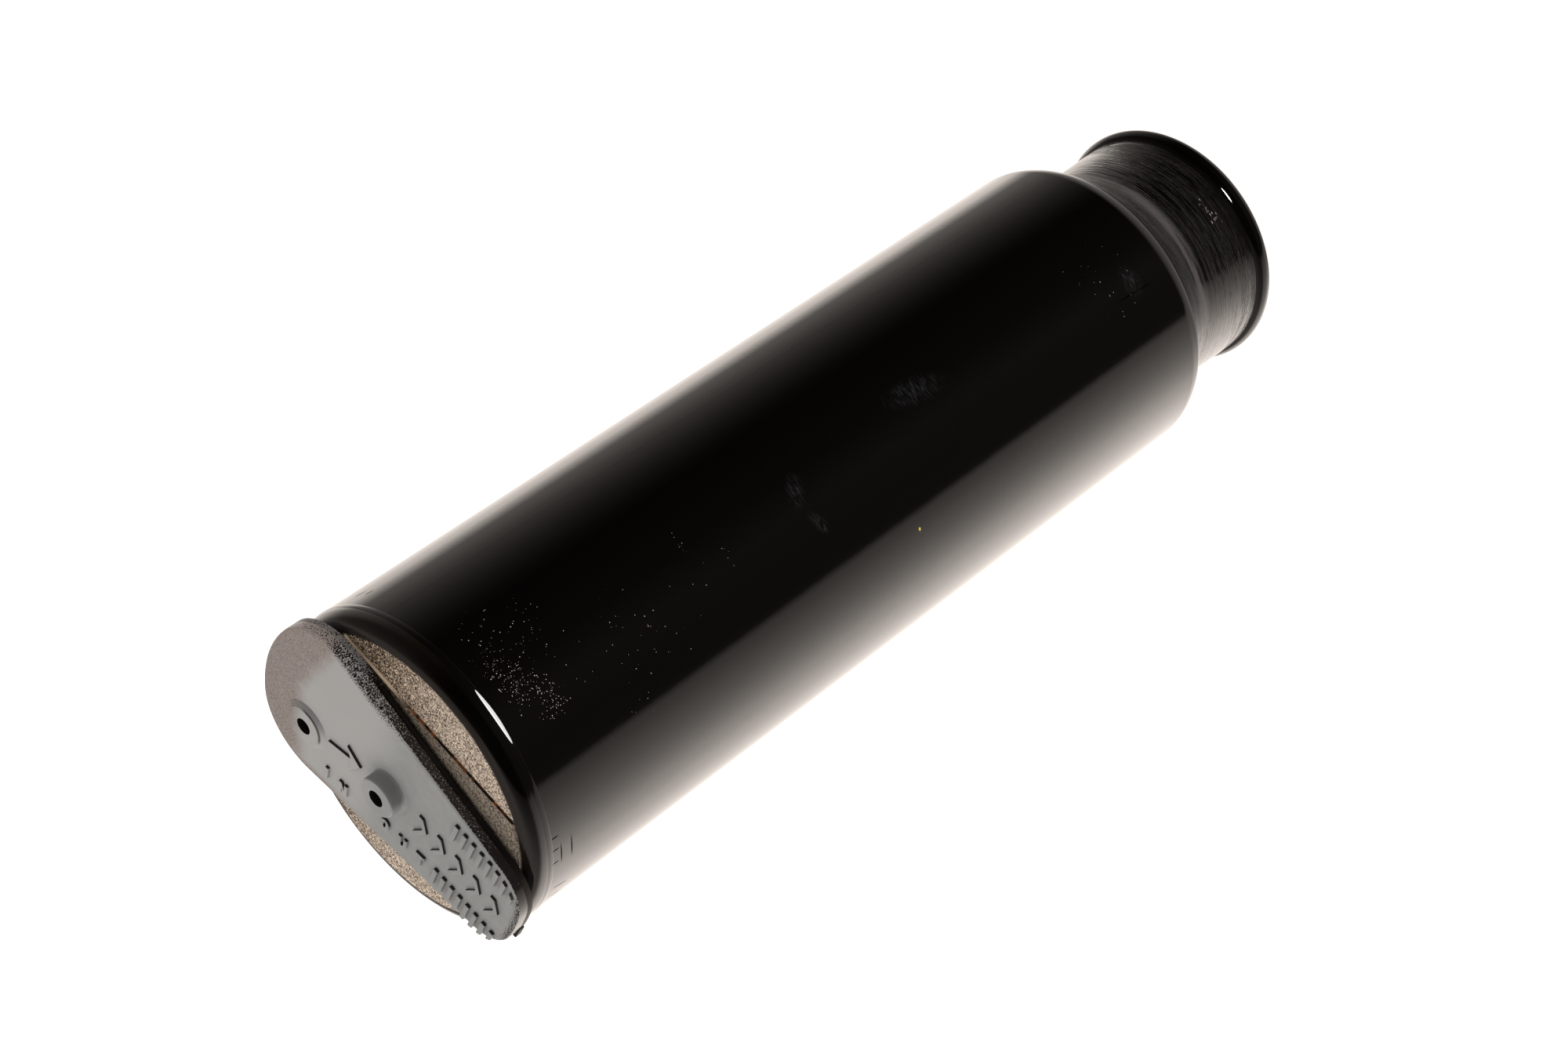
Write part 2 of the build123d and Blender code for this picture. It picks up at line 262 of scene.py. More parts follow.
def noise(tree, place, scale, detail, roughness=0.5, distortion=0.0):
    """Cloudy noise from 0 to 1."""
    inputs = {"Vector": place, "Scale": scale, "Detail": detail}
    inputs |= {"Roughness": roughness, "Distortion": distortion}
    return node(tree, "ShaderNodeTexNoise", inputs).outputs["Fac"]


def stretched(tree, place, scale, turn=0.0):
    """Place turned about Z and scaled, which draws a pattern out."""
    inputs = {"Vector": place, "Rotation": (0, 0, turn), "Scale": scale}
    return node(tree, "ShaderNodeMapping", inputs).outputs[0]


def position(tree):
    """Place on the piece, in metres."""
    return node(tree, "ShaderNodeTexCoord").outputs["Object"]


def in_mm(tree):
    """Place on the piece, in mm."""
    return vector(tree, "MULTIPLY", position(tree), (1 / mm, 1 / mm, 1 / mm))


def set_surface(tree, shader, colour, roughness, relief, strength, depth):
    """Give a shader its colour, its roughness and a relief, whose depth is in mm."""
    inputs = {"Height": relief, "Strength": strength, "Distance": depth * mm}
    normal = node(tree, "ShaderNodeBump", inputs).outputs[0]
    for socket, value in (("Base Color", colour), ("Roughness", roughness), ("Normal", normal)):
        tree.links.new(value, shader.inputs[socket])


def group(name, inputs, numbers=("Mask",), vectors=()):
    """Empty shader node group. Its inputs come with their values, its outputs are named."""
    made = bpy.data.node_groups.new(name, "ShaderNodeTree")
    for socket, value in inputs.items():
        kind = "NodeSocketVector" if isinstance(value, tuple) else "NodeSocketFloat"
        made.interface.new_socket(socket, in_out="INPUT", socket_type=kind).default_value = value
    for names, kind in ((vectors, "NodeSocketVector"), (numbers, "NodeSocketFloat")):
        for socket in names:
            made.interface.new_socket(socket, in_out="OUTPUT", socket_type=kind)
    return made, made.nodes.new("NodeGroupInput").outputs, made.nodes.new("NodeGroupOutput").inputs


def placed(tree, effect, **inputs):
    """Outputs of a shared effect, placed in a material with its own values."""
    return node(tree, "ShaderNodeGroup", inputs, node_tree=effect).outputs


origin = (0, 0, 0)

# Unrolled wall: X is the arc length round the can in mm from +X, Y the height in mm
unrolled, given, put = group("unrolled_wall", {"Place": origin}, ("Radius", "Height"), ("Wall",))
along = xyz(unrolled, given["Place"])
arc_length = times(unrolled, math(unrolled, "ARCTAN2", along[1], along[0]), can_radius / mm)
height = times(unrolled, along[2], 1 / mm)
flat_place = node(unrolled, "ShaderNodeCombineXYZ", {0: along[0], 1: along[1]}).outputs[0]
radius = times(unrolled, vector(unrolled, "LENGTH", flat_place), 1 / mm)
wall_place = node(unrolled, "ShaderNodeCombineXYZ", {0: arc_length, 1: height}).outputs[0]
for socket, value in (("Wall", wall_place), ("Radius", radius), ("Height", height)):
    unrolled.links.new(value, put[socket])

# Patch: 1 at the middle of an oval on the unrolled wall, 0 at its edge and outside
patch, given, put = group(
    "oval_patch", {"Wall": origin, "Middle": origin, "Size": (1, 1, 1), "Turn": origin}
)
moved = {"Vector": vector(patch, "SUBTRACT", given["Wall"], given["Middle"])}
moved["Rotation"] = given["Turn"]
rotated = node(patch, "ShaderNodeVectorRotate", moved, rotation_type="EULER_XYZ").outputs[0]
from_middle = vector(patch, "LENGTH", vector(patch, "DIVIDE", rotated, given["Size"]))
patch.links.new(ramp(patch, from_middle, 1.0, 0.0), put["Mask"])

# Speckle: fine dots that close up as the cover rises from 0 to 1
speckle, given, put = group(
    "speckle", {"Place": origin, "Size": 0.2, "Cover": 0.5, "Softness": 0.06}
)
pitch = math(speckle, "DIVIDE", 1.0, given["Size"])
grain = noise(speckle, given["Place"], pitch, 2.0, 0.6)
cover_range = {"Value": given["Cover"], "To Min": 0.78, "To Max": 0.24}
threshold = node(speckle, "ShaderNodeMapRange", cover_range).outputs["Result"]
above = math(speckle, "DIVIDE", minus(speckle, grain, threshold), given["Softness"])
speckle.links.new(plus(speckle, above, 0.5, clamp=True), put["Mask"])

# Flecks: separate round dots, each there or not by chance, and more of them as the cover rises
flecks, given, put = group("flecks", {"Place": origin, "Size": 0.4, "Cover": 0.5})
pitch = math(flecks, "DIVIDE", 1.0, given["Size"])
cells = node(flecks, "ShaderNodeTexVoronoi", {"Vector": given["Place"], "Scale": pitch}).outputs
chance = node(flecks, "ShaderNodeSeparateColor", {0: cells["Color"]}).outputs
there = math(flecks, "LESS_THAN", chance[0], given["Cover"])
dot_radius = weighted(flecks, 0.12, (chance[1], 0.26))
dot = times(flecks, minus(flecks, dot_radius, cells["Distance"]), 14.0, clamp=True)
flecks.links.new(times(flecks, there, dot), put["Mask"])

can_paint, tree, shader = new_material("glossy_black_can_paint")
wall = placed(tree, unrolled, Place=position(tree))
millimetres = in_mm(tree)
clumps = noise(tree, millimetres, 0.7, 2.0)


def wall_oval(angle, height, wide, high, lean=0, strength=1.0):
    """Oval on the can's wall: middle in degrees and mm, half sizes in mm, lean in degrees."""
    middle = (radians(angle) * can_radius / mm, height, 0)
    at = {"Wall": wall["Wall"], "Middle": middle, "Size": (wide, high, 1)}
    return times(tree, placed(tree, patch, **at, Turn=(0, 0, radians(lean)))["Mask"], strength)


def wall_ovals(*ovals):
    """Largest of several ovals on the can's wall."""
    return most(tree, *(wall_oval(*oval) for oval in ovals))


# Chips and dotted scratches, down to the metal
chipped = wall_ovals(
    (88, 196.8, 5.6, 4.2, 0, 0.75),
    (79, 195.0, 6.2, 5.6, 10, 0.95),
    (71, 192.4, 5.0, 4.6, 30, 0.85),
    (91, 190.5, 12.0, 10.0, 0, 0.11),
    (86, 156.0, 3.2, 0.9, 5, 0.9),
    (74, 149.5, 3.2, 0.9, -8, 0.8),
    (70, 172.0, 16.0, 20.0, 0, 0.035),
    (80, 47.0, 11.0, 9.0, 10, 0.03),
)
chip_cover = times(tree, chipped, ramp(tree, clumps, 0.3, 0.6))
chips = placed(tree, flecks, Place=millimetres, Size=0.26, Cover=chip_cover)["Mask"]
dash_place = stretched(tree, wall["Wall"], (0.4, 2.2, 1))
dash_cover = wall_oval(75, 9.6, 7.0, 2.0, -8, 0.95)
dashes = placed(tree, flecks, Place=dash_place, Size=0.5, Cover=dash_cover)["Mask"]
chips = most(tree, chips, dashes)
yellow_chip = times(tree, wall_oval(43.4, 111.0, 0.5, 0.35), 1.6, clamp=True)

# Marks scribed near the weld and at the shoulder
scribed = wall_ovals(
    (22.0, 197.8, 3.6, 0.2),
    (22.0, 200.1, 3.3, 0.2),
    (30.0, 201.2, 0.2, 1.2),
    (25.0, 201.3, 0.2, 1.2),
    (19.5, 201.4, 0.2, 1.2),
    (4.0, 199.4, 0.2, 3.0, 16),
    (-2.2, 199.5, 0.2, 3.0, 14),
    (148.0, 198.4, 0.25, 1.8, 20),
    (144.0, 198.0, 0.25, 1.5, 20),
    (68.0, 42.5, 0.2, 7.0, 3),
)

# Smudges, streaked like wiped grease
smudged = wall_ovals(
    (84, 98.0, 3.2, 8.5, 8),
    (79, 131.0, 4.0, 2.2, 30),
    (66, 130.5, 3.4, 1.6, -20),
    (72, 42.0, 4.0, 3.0, 0),
)
streaks = noise(tree, stretched(tree, wall["Wall"], (0.5, 3.4, 1), 0.5), 1.0, 4.0, 0.7)
haze = times(tree, smudged, ramp(tree, streaks, 0.46, 0.66))

# Spinning rings: fine, broken, nearly level lines on the neck and in the shoulder's hollow
level_lines, broken = (
    noise(tree, stretched(tree, wall["Wall"], (0.05, up, 1), lean), 1.0, 3.0, 0.65)
    for up, lean in ((2.8, 0.02), (0.9, 0.12))
)
rings = times(
    tree,
    ramp(tree, level_lines, 0.44, 0.68),
    ramp(tree, broken, 0.30, 0.55),
    ramp(tree, wall["Radius"], 29.0, 26.5),
    ramp(tree, wall["Height"], 3.6, 4.4),
)

# A lighter ring is painted where the neck's round ends, as a painted reflection in that hollow, and
# the paint there is also rougher
painted_light_ring = times(
    tree,
    ramp(tree, apart(tree, wall["Height"], 20.3), 2.2, 0.1),
    ramp(tree, wall["Radius"], 27.0, 25.5),
    ramp(tree, broken, 0.2, 0.55),
)

peel = noise(tree, millimetres, 0.28, 1.0)
drawn = noise(tree, stretched(tree, wall["Wall"], (2.2, 0.05, 1)), 1.0, 2.0)
black = (0.0006, 0.0004, 0.00035)
bright_chip = blend(tree, clumps, (0.16, 0.14, 0.135), (0.58, 0.52, 0.49))
colour = blend(tree, times(tree, haze, 0.5), black, (0.045, 0.047, 0.055))
colour = blend(tree, times(tree, painted_light_ring, 0.42), colour, (0.15, 0.143, 0.143))
colour = blend(tree, times(tree, rings, 0.03), colour, (0.16, 0.135, 0.13))
colour = blend(tree, chips, colour, bright_chip)
colour = blend(tree, yellow_chip, colour, (0.55, 0.38, 0.06))
roughness = weighted(
    tree, 0.025, (haze, 0.22), (chips, 0.4), (painted_light_ring, 0.18), (rings, 0.08), (drawn, 0.02)
)
relief = weighted(tree, 0.0, (rings, 0.05), (peel, 0.012), (chips, 0.0096))
set_surface(tree, shader, colour, roughness, relief, 0.8, 1.0)
shader.inputs["IOR"].default_value = 1.5

# The scribed marks and the line beside the weld shine less
off_weld = apart(tree, wall["Height"], weld_height / mm - 0.4)
weld_line = times(tree, ramp(tree, off_weld, 0.45, 0.1), 0.3)
cut = most(tree, times(tree, scribed, 2.0, clamp=True), weld_line)
tree.links.new(weighted(tree, 0.5, (cut, -0.5)), shader.inputs["Specular IOR Level"])

can.data.materials.append(can_paint)
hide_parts("receiver_shell")
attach(can, "root")


# Girth weld: joins the can and the head with one narrow crown, which hardly stands out from the
# wall and is painted over with the can.
weld_crown = 0.08 * mm
crown_radius = (weld_leg**2 + weld_crown**2) / (2 * weld_crown)
crown_centre = can_radius + weld_crown - crown_radius
crown_half = atan2(weld_leg, can_radius - crown_centre)

weld_mesh = bmesh.new()
root = weld_mesh.verts.new((can_radius - weld_leg, 0, weld_height))
toe = line(weld_mesh, root, Vector((can_radius, 0, weld_height - weld_leg)))
toe = arc(weld_mesh, toe, (crown_centre, 0, weld_height), (0, -1, 0), 2 * crown_half, 12)
weld_mesh.edges.new((toe, root))
turned(weld_mesh, steps=360)
weld = finished("weld", weld_mesh)

weld.data.materials.append(can_paint)
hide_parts("girth_weld")
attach(weld, "root")


# Head: a turned steel disc with a rounded rim, with a low band left across its face and lands
# round the two ports and the bolt hole. The rim is painted with the can and the face stays bare,
# dusted with the spray that went past the mask.
can_length = 206.1 * mm
head_underside = 190.4 * mm
rim_round = 3.05 * mm
band_half_width = 17.25 * mm
band_height = 0.3 * mm
band_margin = 0.1 * mm
land_radius = 7.6 * mm
land_height = 0.75 * mm
port_radius = 5.5 * mm
port_depth = 8 * mm
passage_radius = 3 * mm
inlet = Vector((-19 * mm, -6.75 * mm, 0))
bolt = Vector((15 * mm, 2.5 * mm, 0))
tube_hole_radius = 4.05 * mm
tube_hole_depth = 5 * mm
groove_radius = 5.3 * mm
groove_low = 1.2 * mm
groove_high = 2.6 * mm
bolt_land_radius = 6 * mm
bolt_hole_radius = 2.5 * mm
bolt_hole_depth = 9 * mm
plug_gap_radius = 6.6 * mm
spigot_gap = 0.1 * mm
spigot_round = 0.8 * mm
land_edge_round = 0.15 * mm
spigot_radius = can_radius - can_wall - spigot_gap
land_top = can_length + land_height
centre = Vector((0, 0, 0))

head_mesh = bmesh.new()
section(
    head_mesh,
    [
        (tube_hole_radius, head_underside),
        (spigot_radius, head_underside, spigot_round, 4),
        (spigot_radius, weld_height),
        (can_radius - weld_leg, weld_height),
        (can_radius, weld_height + weld_leg),
        (can_radius, can_length, rim_round, 20),
        (land_radius, can_length),
        (land_radius, land_top, land_edge_round, 3),
        (port_radius, land_top, land_edge_round, 3),
        (port_radius, land_top - port_depth),
        (passage_radius, land_top - port_depth),
        (passage_radius, head_underside + tube_hole_depth),
        (tube_hole_radius, head_underside + tube_hole_depth),
        (tube_hole_radius, head_underside + groove_high),
        (groove_radius, head_underside + groove_high),
        (groove_radius, head_underside + groove_low),
        (tube_hole_radius, head_underside + groove_low),
    ],
)
turned(head_mesh)
head = finished("head_body", head_mesh)


def turned_piece(name, at, corners, steps=96):
    """Turned body about an upright line. Each corner is as in a section."""
    mesh = bmesh.new()
    section(mesh, corners, closed=False)
    turned(mesh, steps=steps)
    bmesh.ops.translate(mesh, verts=mesh.verts, vec=at)
    return finished(name, mesh)


def round_bar(name, at, radius, low, high, edge=0):
    """Plain round bar that adds or cuts an upright round form, with its top edge rounded."""
    top = (radius, high, edge, 3) if edge else (radius, high)
    return turned_piece(name, at, [(0, low), (radius, low), top, (0, high)], 64)


def joined(piece, operation, tools):
    """Add tools to a piece or cut them from it, and remove the tools."""
    for tool in tools:
        step = piece.modifiers.new("join", "BOOLEAN")
        step.object = tool
        step.operation = operation
        step.solver = "EXACT"
        evaluated = piece.evaluated_get(bpy.context.evaluated_depsgraph_get())
        data = bpy.data.meshes.new_from_object(evaluated)
        piece.modifiers.clear()
        piece.data = data
        bpy.data.objects.remove(tool)


def resmoothed(piece, sharp=radians(32)):
    """Set smooth faces and sharp edges again after pieces are joined, and merge doubles."""
    mesh = bmesh.new()
    mesh.from_mesh(piece.data)
    bmesh.ops.remove_doubles(mesh, verts=mesh.verts, dist=5e-7)
    smoothed(mesh, sharp)
    mesh.to_mesh(piece.data)
    mesh.free()


def thickened(mesh, height):
    """Raise a flat mesh straight up into a plate."""
    raised = bmesh.ops.extrude_face_region(mesh, geom=mesh.faces[:])
    top = [item for item in raised["geom"] if isinstance(item, bmesh.types.BMVert)]
    bmesh.ops.translate(mesh, verts=top, vec=(0, 0, height))


# What is added to the head or cut from it reaches this far past its faces
below = mm

# The band is the middle of a disc, between two straight sides
band_mesh = bmesh.new()
band_radius = can_radius - rim_round - band_margin
bmesh.ops.create_circle(band_mesh, cap_ends=True, segments=250, radius=band_radius)
for side in (-1, 1):
    bmesh.ops.bisect_plane(
        band_mesh,
        geom=band_mesh.verts[:] + band_mesh.edges[:] + band_mesh.faces[:],
        plane_co=(0, side * band_half_width, 0),
        plane_no=(0, side, 0),
        clear_outer=True,
    )
thickened(band_mesh, below + band_height)
bmesh.ops.translate(band_mesh, verts=band_mesh.verts, vec=(0, 0, can_length - below))
bmesh.ops.recalc_face_normals(band_mesh, faces=band_mesh.faces)
band = finished("band", band_mesh)
plug_gap = round_bar("gap", centre, plug_gap_radius, can_length - 2 * below, land_top)
joined(band, "DIFFERENCE", [plug_gap])
lands = [
    round_bar("land", at, radius, can_length - sunk * below, land_top, land_edge_round)
    for at, radius, sunk in ((inlet, land_radius, 0.8), (bolt, bolt_land_radius, 0.6))
]
joined(head, "UNION", [band, *lands])
inlet_port = turned_piece(
    "port",
    inlet,
    [
        (0, head_underside - below),
        (passage_radius, head_underside - below),
        (passage_radius, land_top - port_depth),
        (port_radius, land_top - port_depth),
        (port_radius, land_top + below),
        (0, land_top + below),
    ],
)
bolt_foot = land_top - bolt_hole_depth
bolt_hole = round_bar("bolt_hole", bolt, bolt_hole_radius, bolt_foot, land_top + below)
joined(head, "DIFFERENCE", [inlet_port, bolt_hole])
resmoothed(head)

head_metal, tree, shader = new_material("bare_head_with_painted_rim")
wall = placed(tree, unrolled, Place=position(tree))
millimetres = in_mm(tree)
across = xyz(tree, millimetres)

# Paint: full on the rim, a brown film where it thins, and dots where it went past the mask
drifted = weighted(tree, wall["Radius"], (noise(tree, millimetres, 0.25, 2.0), 0.5))
full_paint = ramp(tree, drifted, 27.0, 27.5)
left_film = times(tree, ramp(tree, across[0], 2.0, -12.0), 0.55)
film = most(tree, ramp(tree, drifted, 29.6, 27.2), left_film)
dot_cover = weighted(tree, 0.36, (ramp(tree, across[0], -2.0, -18.0), 0.18))
spray_dots = placed(
    tree, speckle, Place=millimetres, Size=0.27, Cover=dot_cover, Softness=0.05
)["Mask"]

# Bare steel: dark and bright grains, golden specks, painted glints, and rows of bright dots towards
# the rim
tone = noise(tree, millimetres, 2.2, 4.0, 0.75)
worn = ramp(tree, across[0], -1.0, -13.0)
clean = blend(tree, ramp(tree, across[0], -7.0, 7.0), (0.40, 0.330, 0.275), (0.76, 0.66, 0.57))
metal = blend(tree, ramp(tree, tone, 0.38, 0.62), (0.085, 0.066, 0.050), clean)
metal = blend(tree, times(tree, worn, 0.84), metal, (0.066, 0.043, 0.028))
gold_place = vector(tree, "ADD", millimetres, (31, 7, 0))
gold_cover = weighted(tree, 0.30, (worn, 0.22))
gold = placed(tree, speckle, Place=gold_place, Size=0.36, Cover=gold_cover)["Mask"]
metal = blend(tree, times(tree, gold, 0.6), metal, (0.30, 0.17, 0.07))
# Painted glints: bright specks put into the steel's colour as highlights
painted_glint_place = vector(tree, "ADD", millimetres, (0, 3, 19))
painted_glints = placed(tree, speckle, Place=painted_glint_place, Size=0.25, Cover=0.40, Softness=0.04)["Mask"]
dot_grid = {"Vector": millimetres, "Scale": 2.6, "Randomness": 0.4}
from_dot = node(tree, "ShaderNodeTexVoronoi", dot_grid).outputs["Distance"]
rows = times(tree, ramp(tree, from_dot, 0.38, 0.20), ramp(tree, wall["Radius"], 18.0, 21.5))
bright = most(tree, painted_glints, times(tree, rows, 0.8))
metal = blend(tree, bright, metal, (0.92, 0.82, 0.68))

# The strip that the cover shades is painted darker and greenish, the left end of the band's step
# carries a painted highlight, and rust gathers in the band's step
on_band = times(tree, ramp(tree, across[1], 17.4, 17.0), ramp(tree, across[1], 0.0, 2.0))
metal = blend(tree, times(tree, on_band, 0.55), metal, (0.060, 0.060, 0.050))
off_step = apart(tree, math(tree, "ABSOLUTE", across[1]), 17.3)
step_line = ramp(tree, off_step, 0.42, 0.10)
# Painted highlight along the left end of the step
painted_step_highlight = times(tree, ramp(tree, across[0], -4.5, -10.0), step_line)
metal = blend(tree, painted_step_highlight, metal, (0.72, 0.60, 0.46))
rusty = times(tree, ramp(tree, across[0], -9.0, -2.0), step_line)
rusting = ramp(tree, noise(tree, millimetres, 0.6, 3.0), 0.42, 0.60)
rust = blend(tree, rusting, (0.012, 0.005, 0.003), (0.26, 0.085, 0.018))
metal = blend(tree, rusty, metal, rust)

coat = blend(tree, times(tree, film, 0.85), black, (0.0095, 0.0068, 0.0058))
off_line = minus(tree, 1.0, most(tree, rusty, painted_step_highlight))
paint = most(tree, times(tree, off_line, spray_dots), full_paint)
bare = minus(tree, 1.0, paint, clamp=True)
thin = minus(tree, 1.0, full_paint)
painted_film = times(tree, film, full_paint)
roughness = weighted(tree, 0.06, (bare, 0.34), (thin, 0.14), (painted_film, 0.22))
relief = times(tree, weighted(tree, tone, (bright, 0.5)), thin)
tree.links.new(times(tree, bare, 0.35), shader.inputs["Metallic"])
set_surface(tree, shader, blend(tree, paint, metal, coat), roughness, relief, 0.6, 0.14)

head.data.materials.clear()
head.data.materials.append(head_metal)
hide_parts("head")
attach(head, "root")


# Gasket: black sheet rubber cut to the cover's outline, with a small square tab at one corner of
# the tip. It sits on the head's lands and carries the same spray as the cover's walls.
taper = radians(10.8)
cover_half_width = 15 * mm
lobe_round = 12.2 * mm
tip_round = 8 * mm
cover_end = 31 * mm
gasket_thickness = 1.1 * mm
gasket_top = land_top + gasket_thickness
gasket_edge_round = 0.12 * mm
tab_length = 3 * mm
tab_width = 3.1 * mm
tab_thickness = 0.96 * gasket_thickness
tab_round = 0.3 * mm
tab_middle = (cover_end - 1.35 * mm, -3.9 * mm, land_top + 0.49 * gasket_thickness)
plug_hole_radius = 5.8 * mm
screw_hole_radius = 2.9 * mm


def round_edges(mesh, edges, radius, steps):
    """Round some edges of a mesh."""
    bmesh.ops.bevel(
        mesh, geom=edges, affect="EDGES", offset=radius, segments=steps, profile=0.5, material=-1
    )


def upright_edges(mesh):
    """Edges that run up a mesh."""
    return [e for e in mesh.edges if abs(e.verts[0].co.z - e.verts[1].co.z) > 1e-5]


def box(mesh, middle, size):
    """Add a box to a mesh."""
    matrix = Matrix.Translation(middle) @ Matrix.Diagonal((*size, 1))
    bmesh.ops.create_cube(mesh, size=1, matrix=matrix)


def tapered_plate(name, end_radius, margin, low, high, edge, edge_steps):
    """Plate with two straight tapered sides and ends that follow the can's circle."""
    upright = Vector((0, 0, -1))
    square = Vector((sin(taper), cos(taper), 0))
    along = Vector((cos(taper), -sin(taper), 0))
    end = end_radius - margin
    side = cover_half_width * cos(taper) - margin
    corners = []
    for corner, way in ((lobe_round - margin, -1), (tip_round - margin, 1)):
        off = side - corner
        corners.append((square * off + along * way * sqrt((end - corner) ** 2 - off**2), corner))
    (lobe, _), (tip, tip_radius) = corners
    at_side = atan2(square.y, square.x)
    mesh = bmesh.new()
    vert = mesh.verts.new((-end, 0, 0))
    vert = arc(mesh, vert, (0, 0, 0), upright, pi - atan2(lobe.y, lobe.x), 24)
    vert = arc(mesh, vert, lobe, upright, atan2(lobe.y, lobe.x) - at_side, 24)
    vert = line(mesh, vert, tip + square * tip_radius)
    vert = arc(mesh, vert, tip, upright, at_side - atan2(tip.y, tip.x), 24)
    arc(mesh, vert, (0, 0, 0), upright, atan2(tip.y, tip.x), 12)
    bmesh.ops.mirror(mesh, geom=mesh.verts[:] + mesh.edges[:], axis="Y", merge_dist=1e-6)
    bmesh.ops.remove_doubles(mesh, verts=mesh.verts, dist=1e-6)
    bmesh.ops.contextual_create(mesh, geom=mesh.edges)
    bmesh.ops.translate(mesh, verts=mesh.verts, vec=(0, 0, low))
    thickened(mesh, high - low)
    bmesh.ops.recalc_face_normals(mesh, faces=mesh.faces)
    if edge:
        rim = [e for e in mesh.edges if min(v.co.z for v in e.verts) > high - 1e-6]
        round_edges(mesh, rim, edge, edge_steps)
    return finished(name, mesh, radians(40))


gasket = tapered_plate("gasket", cover_end, 0, land_top, gasket_top, gasket_edge_round, 2)
tab_mesh = bmesh.new()
box(tab_mesh, tab_middle, (tab_length, tab_width, tab_thickness))
round_edges(tab_mesh, upright_edges(tab_mesh), tab_round, 4)
joined(gasket, "UNION", [finished("tab", tab_mesh)])
hole_places = ((centre, plug_hole_radius), (inlet, plug_hole_radius), (bolt, screw_hole_radius))
holes = [
    round_bar("hole", at, radius, land_top - mm, gasket_top + mm) for at, radius in hole_places
]
joined(gasket, "DIFFERENCE", holes)
resmoothed(gasket, radians(40))

rubber, tree, shader = new_material("black_sheet_rubber")
millimetres = in_mm(tree)
across = xyz(tree, millimetres)
bloom = noise(tree, millimetres, 0.16, 3.0)
grain = noise(tree, millimetres, 2.4, 3.0)
above_head = ramp(tree, across[2], can_length / mm - 0.1, can_length / mm + 0.5)
dust_cover = times(tree, ramp(tree, across[0], -7.0, -16.0), above_head, 0.60)
dust = placed(tree, speckle, Place=millimetres, Size=0.24, Cover=dust_cover)["Mask"]
# Towards the tip the rubber is painted browner, partly as a tint and partly as a painted sheen, and
# it is rougher there
brown = ramp(tree, across[0], 22.0, 30.0)
bloomed = ramp(tree, bloom, 0.4, 0.7)
colour = blend(tree, bloomed, (0.0012, 0.0010, 0.0010), (0.0045, 0.0040, 0.0040))
colour = blend(tree, times(tree, brown, 0.7), colour, (0.018, 0.008, 0.005))
colour = blend(tree, dust, colour, (0.14, 0.137, 0.14))
roughness = weighted(tree, 0.16, (bloom, 0.2), (dust, 0.3), (brown, 0.3))
set_surface(tree, shader, colour, roughness, grain, 0.3, 0.03)
shader.inputs["Specular IOR Level"].default_value = 0.3

gasket.data.materials.clear()
gasket.data.materials.append(rubber)
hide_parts("cover_gasket")
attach(gasket, "root")


# Port cover: one soft grey moulding, pushed on. A boss with a blind hole stands over each port,
# with a hollow plug under it, and two rows of grip ribs run along the narrow tip. Spray from the
# can's painting has darkened its wide end and its side walls.
cover_thickness = 2.05 * mm
cover_top = gasket_top + cover_thickness
cover_edge_round = 0.45 * mm
outlet_boss_radius = 3.8 * mm
outlet_boss_height = 2.85 * mm
outlet_boss_foot = outlet_boss_radius + 0.92 * mm
outlet_boss_round = 0.45 * mm
outlet_foot_round = 0.9 * mm
inlet_boss_radius = 3.8 * mm
inlet_boss_height = 0.75 * mm
inlet_boss_foot = 4.9 * mm
inlet_boss_round = 0.3 * mm
boss_hole_radius = 1.6 * mm
boss_hole_depth = 4.4 * mm
boss_floor = 1.2 * mm
plug_radius = 5.4 * mm
plug_depth = 6 * mm
plug_wall = 1.4 * mm
rib_count = 8
rib_pitch = 1.97 * mm
rib_width = 1.0 * mm
rib_length = 4.7 * mm
rib_height = 0.6 * mm
first_rib = 14.2 * mm
rib_row = 8.05 * mm
rib_margin = 0.35 * mm
rib_round = 0.3 * mm
rib_top_round = 0.16 * mm

cover = tapered_plate("cover", cover_end, 0, gasket_top, cover_top, cover_edge_round, 5)
outlet_boss = turned_piece(
    "boss",
    centre,
    [
        (0, cover_top - mm),
        (outlet_boss_foot, cover_top - mm),
        (outlet_boss_foot, cover_top + 0.01 * mm),
        (outlet_boss_radius, cover_top + 0.01 * mm, outlet_foot_round, 8),
        (outlet_boss_radius, cover_top + outlet_boss_height, outlet_boss_round, 6),
        (0, cover_top + outlet_boss_height),
    ],
)
inlet_boss = turned_piece(
    "boss",
    inlet,
    [
        (0, cover_top - mm),
        (inlet_boss_foot, cover_top - mm),
        (inlet_boss_foot, cover_top + 0.01 * mm),
        (inlet_boss_radius, cover_top + inlet_boss_height, inlet_boss_round, 4),
        (0, cover_top + inlet_boss_height),
    ],
)
plugs = [
    round_bar("plug", at, plug_radius, gasket_top - plug_depth, gasket_top + 0.4 * mm)
    for at in (centre, inlet)
]
joined(cover, "UNION", [outlet_boss, inlet_boss, *plugs])

rib_limit = tapered_plate("limit", cover_end, rib_margin, cover_top - mm, cover_top + mm, 0, 0)
rib_mesh = bmesh.new()
for step in range(rib_count):
    for side in (-1, 1):
        middle = (first_rib + step * rib_pitch, side * rib_row, cover_top)
        box(rib_mesh, middle, (rib_width, rib_length, 2 * rib_height))
round_edges(rib_mesh, upright_edges(rib_mesh), rib_round, 3)
rib_tops = [e for e in rib_mesh.edges if min(v.co.z for v in e.verts) > cover_top]
round_edges(rib_mesh, rib_tops, rib_top_round, 2)
ribs = finished("ribs", rib_mesh)
joined(ribs, "INTERSECT", [rib_limit])
joined(cover, "UNION", [ribs])

